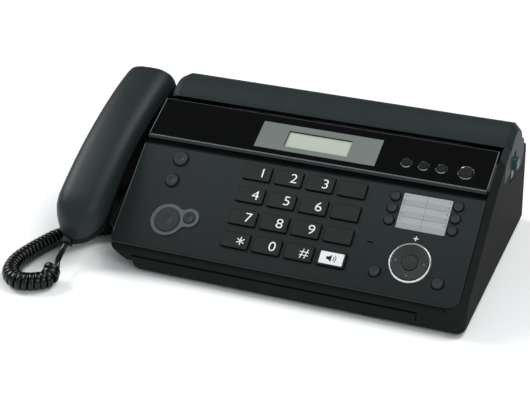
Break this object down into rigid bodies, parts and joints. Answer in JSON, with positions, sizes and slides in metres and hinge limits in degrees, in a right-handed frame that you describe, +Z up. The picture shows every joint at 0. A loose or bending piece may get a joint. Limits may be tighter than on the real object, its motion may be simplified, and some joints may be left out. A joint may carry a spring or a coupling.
{
  "type": "fax machine",
  "caption": "Desktop fax machine in charcoal plastic with a sloping key panel, display, barrel top cover and a corded handset in a side cradle.",
  "frame": {"origin": "centre of the footprint on the table, under the feet", "axes": "+X to the right along the panel, +Y to the back, +Z up"},
  "size_m": [0.3783, 0.272, 0.118],
  "materials": {
    "base_plastic": "fine spark-eroded charcoal plastic",
    "cradle_plastic": "matte black plastic",
    "black_plastic": "black plastic",
    "foot_rubber": "black rubber",
    "head_metal": "aluminium heat plate",
    "motor_steel": "zinc-plated steel can",
    "panel_plastic": "fine textured charcoal plastic",
    "display_gloss": "glossy black acrylic with a silver print",
    "lcd_glass": "grey-green display glass",
    "surround_plastic": "satin grey plastic",
    "trim_chrome": "bright metallised ring",
    "board": "green circuit board",
    "navigator_plastic": "satin dark grey plastic",
    "dial_key_plastic": "satin near-black key with white digits",
    "button_plastic": "satin dark grey button",
    "display_button_gloss": "glossy black button",
    "cover_plastic": "fine textured charcoal plastic",
    "lever_plastic": "dark teal plastic",
    "roller_rubber": "ground rubber on a steel shaft",
    "gear_plastic": "natural acetal",
    "paper": "thermal paper",
    "handset_plastic": "fine textured charcoal plastic",
    "handset_inner_plastic": "fine textured charcoal plastic",
    "cord_plastic": "glossy black cord jacket"
  },
  "bodies": {
    "root": {"base_housing": "base_plastic", "handset_cradle": "cradle_plastic", "rear_jacks": "black_plastic", "rubber_feet": "foot_rubber", "thermal_head": "head_metal", "image_sensor": "black_plastic", "drive_motor": "motor_steel", "cord_coil": "cord_plastic", "cord_lead_handset": "cord_plastic", "cord_lead_body": "cord_plastic"},
    "front_cover": {"front_cover": "panel_plastic", "display_window": "display_gloss", "lcd_module": "lcd_glass", "start_key_surround": "surround_plastic", "navigator_trim": "trim_chrome", "panel_board": "board"},
    "navigator_ring": {"navigator_ring": "navigator_plastic"},
    "set_button": {"set_button": "navigator_plastic"},
    "key_1": {"key_1": "dial_key_plastic"},
    "key_2": {"key_2": "dial_key_plastic"},
    "key_3": {"key_3": "dial_key_plastic"},
    "flash_key": {"flash_key": "dial_key_plastic"},
    "key_4": {"key_4": "dial_key_plastic"},
    "key_5": {"key_5": "dial_key_plastic"},
    "key_6": {"key_6": "dial_key_plastic"},
    "redial_key": {"redial_key": "dial_key_plastic"},
    "key_7": {"key_7": "dial_key_plastic"},
    "key_8": {"key_8": "dial_key_plastic"},
    "key_9": {"key_9": "dial_key_plastic"},
    "mute_key": {"mute_key": "dial_key_plastic"},
    "key_star": {"key_star": "dial_key_plastic"},
    "key_0": {"key_0": "dial_key_plastic"},
    "key_hash": {"key_hash": "dial_key_plastic"},
    "speakerphone_key": {"speakerphone_key": "dial_key_plastic"},
    "caller_id_button": {"caller_id_button": "button_plastic"},
    "stop_button": {"stop_button": "button_plastic"},
    "start_button": {"start_button": "button_plastic"},
    "copy_button": {"copy_button": "button_plastic"},
    "one_touch_1": {"one_touch_1": "button_plastic"},
    "one_touch_2": {"one_touch_2": "button_plastic"},
    "one_touch_3": {"one_touch_3": "button_plastic"},
    "one_touch_4": {"one_touch_4": "button_plastic"},
    "one_touch_5": {"one_touch_5": "button_plastic"},
    "one_touch_6": {"one_touch_6": "button_plastic"},
    "broadcast_button": {"broadcast_button": "button_plastic"},
    "menu_button": {"menu_button": "button_plastic"},
    "display_button_1": {"display_button_1": "display_button_gloss"},
    "display_button_2": {"display_button_2": "display_button_gloss"},
    "display_button_3": {"display_button_3": "display_button_gloss"},
    "auto_answer_button": {"auto_answer_button": "display_button_gloss"},
    "top_cover": {"top_cover": "cover_plastic"},
    "cover_lever": {"cover_lever": "lever_plastic"},
    "platen_roller": {"platen_roller": "roller_rubber"},
    "feed_roller": {"feed_roller": "roller_rubber"},
    "motor_pinion": {"motor_pinion": "gear_plastic"},
    "paper_roll": {"paper_roll": "paper"},
    "handset": {"handset_outer_shell": "handset_plastic", "handset_inner_shell": "handset_inner_plastic", "handset_plug": "black_plastic"},
    "hook_switch": {"hook_switch": "cradle_plastic"}
  },
  "joints": [
    {"name": "front_cover_hinge", "type": "hinge", "parent": "root", "child": "front_cover", "pos_m": [0, 0.0103, 0.08764], "axis": [-1, 0, 0], "range_deg": [0, 26]},
    {"name": "top_cover_hinge", "type": "hinge", "parent": "root", "child": "top_cover", "pos_m": [0, 0.0734, 0.08], "axis": [-1, 0, 0], "range_deg": [0, 50]},
    {"name": "cover_lever_pivot", "type": "hinge", "parent": "top_cover", "child": "cover_lever", "pos_m": [0, 0.0481, 0.091], "axis": [-1, 0, 0], "range_deg": [0, 10], "stiffness_Nm_per_rad": 0.05, "springref_deg": -11.46},
    {"name": "navigator_ring_press", "type": "slide", "parent": "front_cover", "child": "navigator_ring", "axis": [0, 0.6039, -0.7971], "range_m": [0, 0.001], "stiffness_N_per_m": 600, "springref_m": -0.0005},
    {"name": "set_button_press", "type": "slide", "parent": "front_cover", "child": "set_button", "axis": [0, 0.6039, -0.7971], "range_m": [0, 0.001], "stiffness_N_per_m": 600, "springref_m": -0.0005},
    {"name": "key_1_press", "type": "slide", "parent": "front_cover", "child": "key_1", "axis": [0, 0.6039, -0.7971], "range_m": [0, 0.001], "stiffness_N_per_m": 600, "springref_m": -0.0005},
    {"name": "key_2_press", "type": "slide", "parent": "front_cover", "child": "key_2", "axis": [0, 0.6039, -0.7971], "range_m": [0, 0.001], "stiffness_N_per_m": 600, "springref_m": -0.0005},
    {"name": "key_3_press", "type": "slide", "parent": "front_cover", "child": "key_3", "axis": [0, 0.6039, -0.7971], "range_m": [0, 0.001], "stiffness_N_per_m": 600, "springref_m": -0.0005},
    {"name": "flash_key_press", "type": "slide", "parent": "front_cover", "child": "flash_key", "axis": [0, 0.6039, -0.7971], "range_m": [0, 0.001], "stiffness_N_per_m": 600, "springref_m": -0.0005},
    {"name": "key_4_press", "type": "slide", "parent": "front_cover", "child": "key_4", "axis": [0, 0.6039, -0.7971], "range_m": [0, 0.001], "stiffness_N_per_m": 600, "springref_m": -0.0005},
    {"name": "key_5_press", "type": "slide", "parent": "front_cover", "child": "key_5", "axis": [0, 0.6039, -0.7971], "range_m": [0, 0.001], "stiffness_N_per_m": 600, "springref_m": -0.0005},
    {"name": "key_6_press", "type": "slide", "parent": "front_cover", "child": "key_6", "axis": [0, 0.6039, -0.7971], "range_m": [0, 0.001], "stiffness_N_per_m": 600, "springref_m": -0.0005},
    {"name": "redial_key_press", "type": "slide", "parent": "front_cover", "child": "redial_key", "axis": [0, 0.6039, -0.7971], "range_m": [0, 0.001], "stiffness_N_per_m": 600, "springref_m": -0.0005},
    {"name": "key_7_press", "type": "slide", "parent": "front_cover", "child": "key_7", "axis": [0, 0.6039, -0.7971], "range_m": [0, 0.001], "stiffness_N_per_m": 600, "springref_m": -0.0005},
    {"name": "key_8_press", "type": "slide", "parent": "front_cover", "child": "key_8", "axis": [0, 0.6039, -0.7971], "range_m": [0, 0.001], "stiffness_N_per_m": 600, "springref_m": -0.0005},
    {"name": "key_9_press", "type": "slide", "parent": "front_cover", "child": "key_9", "axis": [0, 0.6039, -0.7971], "range_m": [0, 0.001], "stiffness_N_per_m": 600, "springref_m": -0.0005},
    {"name": "mute_key_press", "type": "slide", "parent": "front_cover", "child": "mute_key", "axis": [0, 0.6039, -0.7971], "range_m": [0, 0.001], "stiffness_N_per_m": 600, "springref_m": -0.0005},
    {"name": "key_star_press", "type": "slide", "parent": "front_cover", "child": "key_star", "axis": [0, 0.6039, -0.7971], "range_m": [0, 0.001], "stiffness_N_per_m": 600, "springref_m": -0.0005},
    {"name": "key_0_press", "type": "slide", "parent": "front_cover", "child": "key_0", "axis": [0, 0.6039, -0.7971], "range_m": [0, 0.001], "stiffness_N_per_m": 600, "springref_m": -0.0005},
    {"name": "key_hash_press", "type": "slide", "parent": "front_cover", "child": "key_hash", "axis": [0, 0.6039, -0.7971], "range_m": [0, 0.001], "stiffness_N_per_m": 600, "springref_m": -0.0005},
    {"name": "speakerphone_key_press", "type": "slide", "parent": "front_cover", "child": "speakerphone_key", "axis": [0, 0.6039, -0.7971], "range_m": [0, 0.001], "stiffness_N_per_m": 600, "springref_m": -0.0005},
    {"name": "caller_id_button_press", "type": "slide", "parent": "front_cover", "child": "caller_id_button", "axis": [0, 0.6039, -0.7971], "range_m": [0, 0.001], "stiffness_N_per_m": 600, "springref_m": -0.0005},
    {"name": "stop_button_press", "type": "slide", "parent": "front_cover", "child": "stop_button", "axis": [0, 0.6039, -0.7971], "range_m": [0, 0.001], "stiffness_N_per_m": 600, "springref_m": -0.0005},
    {"name": "start_button_press", "type": "slide", "parent": "front_cover", "child": "start_button", "axis": [0, 0.6039, -0.7971], "range_m": [0, 0.001], "stiffness_N_per_m": 600, "springref_m": -0.0005},
    {"name": "copy_button_press", "type": "slide", "parent": "front_cover", "child": "copy_button", "axis": [0, 0.6039, -0.7971], "range_m": [0, 0.001], "stiffness_N_per_m": 600, "springref_m": -0.0005},
    {"name": "one_touch_1_press", "type": "slide", "parent": "front_cover", "child": "one_touch_1", "axis": [0, 0.6039, -0.7971], "range_m": [0, 0.001], "stiffness_N_per_m": 600, "springref_m": -0.0005},
    {"name": "one_touch_2_press", "type": "slide", "parent": "front_cover", "child": "one_touch_2", "axis": [0, 0.6039, -0.7971], "range_m": [0, 0.001], "stiffness_N_per_m": 600, "springref_m": -0.0005},
    {"name": "one_touch_3_press", "type": "slide", "parent": "front_cover", "child": "one_touch_3", "axis": [0, 0.6039, -0.7971], "range_m": [0, 0.001], "stiffness_N_per_m": 600, "springref_m": -0.0005},
    {"name": "one_touch_4_press", "type": "slide", "parent": "front_cover", "child": "one_touch_4", "axis": [0, 0.6039, -0.7971], "range_m": [0, 0.001], "stiffness_N_per_m": 600, "springref_m": -0.0005},
    {"name": "one_touch_5_press", "type": "slide", "parent": "front_cover", "child": "one_touch_5", "axis": [0, 0.6039, -0.7971], "range_m": [0, 0.001], "stiffness_N_per_m": 600, "springref_m": -0.0005},
    {"name": "one_touch_6_press", "type": "slide", "parent": "front_cover", "child": "one_touch_6", "axis": [0, 0.6039, -0.7971], "range_m": [0, 0.001], "stiffness_N_per_m": 600, "springref_m": -0.0005},
    {"name": "broadcast_button_press", "type": "slide", "parent": "front_cover", "child": "broadcast_button", "axis": [0, 0.6039, -0.7971], "range_m": [0, 0.001], "stiffness_N_per_m": 600, "springref_m": -0.0005},
    {"name": "menu_button_press", "type": "slide", "parent": "front_cover", "child": "menu_button", "axis": [0, 0.6039, -0.7971], "range_m": [0, 0.001], "stiffness_N_per_m": 600, "springref_m": -0.0005},
    {"name": "display_button_1_press", "type": "slide", "parent": "front_cover", "child": "display_button_1", "axis": [0, 0.4099, -0.9121], "range_m": [0, 0.001], "stiffness_N_per_m": 600, "springref_m": -0.0005},
    {"name": "display_button_2_press", "type": "slide", "parent": "front_cover", "child": "display_button_2", "axis": [0, 0.4099, -0.9121], "range_m": [0, 0.001], "stiffness_N_per_m": 600, "springref_m": -0.0005},
    {"name": "display_button_3_press", "type": "slide", "parent": "front_cover", "child": "display_button_3", "axis": [0, 0.4099, -0.9121], "range_m": [0, 0.001], "stiffness_N_per_m": 600, "springref_m": -0.0005},
    {"name": "auto_answer_button_press", "type": "slide", "parent": "front_cover", "child": "auto_answer_button", "axis": [0, 0.4099, -0.9121], "range_m": [0, 0.001], "stiffness_N_per_m": 600, "springref_m": -0.0005},
    {"name": "platen_spin", "type": "hinge", "parent": "root", "child": "platen_roller", "pos_m": [0, 0.0364, 0.084], "axis": [1, 0, 0], "continuous": true},
    {"name": "feed_roller_spin", "type": "hinge", "parent": "root", "child": "feed_roller", "pos_m": [0, 0.0014, 0.066], "axis": [1, 0, 0], "continuous": true},
    {"name": "motor_spin", "type": "hinge", "parent": "root", "child": "motor_pinion", "pos_m": [0, 0.0189, 0.075], "axis": [1, 0, 0], "continuous": true},
    {"name": "paper_roll_spin", "type": "hinge", "parent": "root", "child": "paper_roll", "pos_m": [0, 0.0614, 0.062], "axis": [1, 0, 0], "continuous": true},
    {"name": "handset_lift", "type": "slide", "parent": "root", "child": "handset", "axis": [0, -0.3971, 0.9178], "range_m": [0, 0.07]},
    {"name": "hook_switch_rise", "type": "slide", "parent": "root", "child": "hook_switch", "axis": [0, -0.3971, 0.9178], "range_m": [0, 0.003]}
  ],
  "couplings": [
    {"joint": "feed_roller_spin", "follows": "platen_spin", "ratio": 1},
    {"joint": "motor_spin", "follows": "platen_spin", "ratio": -1},
    {"joint": "paper_roll_spin", "follows": "platen_spin", "ratio": 0.36364},
    {"joint": "hook_switch_rise", "follows": "handset_lift", "ratio": 0.04}
  ]
}
